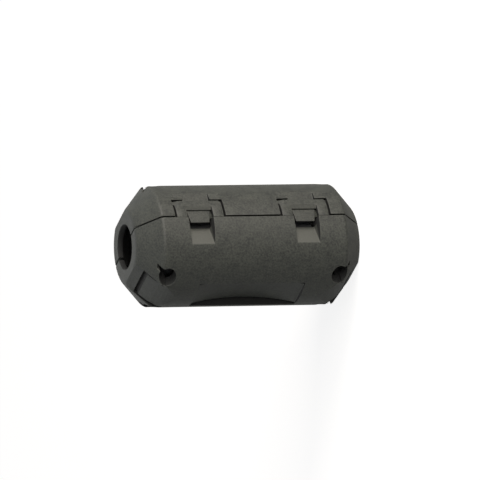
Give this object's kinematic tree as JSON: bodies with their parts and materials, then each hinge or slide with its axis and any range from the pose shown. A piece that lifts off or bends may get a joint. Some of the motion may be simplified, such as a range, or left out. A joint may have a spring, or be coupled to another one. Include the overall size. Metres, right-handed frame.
{
  "type": "clip-on ferrite bead",
  "caption": "Clip-on ferrite bead: a split ferrite core in a hinged, snap-shut black nylon case that closes round a cable.",
  "frame": {"origin": "centre of the cable hole at the case's lower end face", "axes": "+Z along the cable hole, -Y towards the latches, +Y towards the hinge, +X towards the half that swings open"},
  "size_m": [0.013, 0.0146, 0.0253],
  "materials": {
    "nylon": "matte",
    "ferrite": "satin"
  },
  "bodies": {
    "pocket_half": {"pocket_shell": "nylon", "pocket_core": "ferrite"},
    "catch_half": {"catch_shell": "nylon", "catch_core": "ferrite"}
  },
  "joints": [
    {"name": "case_hinge", "type": "hinge", "parent": "pocket_half", "child": "catch_half", "pos_m": [0, 0.00695, 0.01265], "axis": [0, 0, 1], "range_deg": [0, 180]}
  ]
}
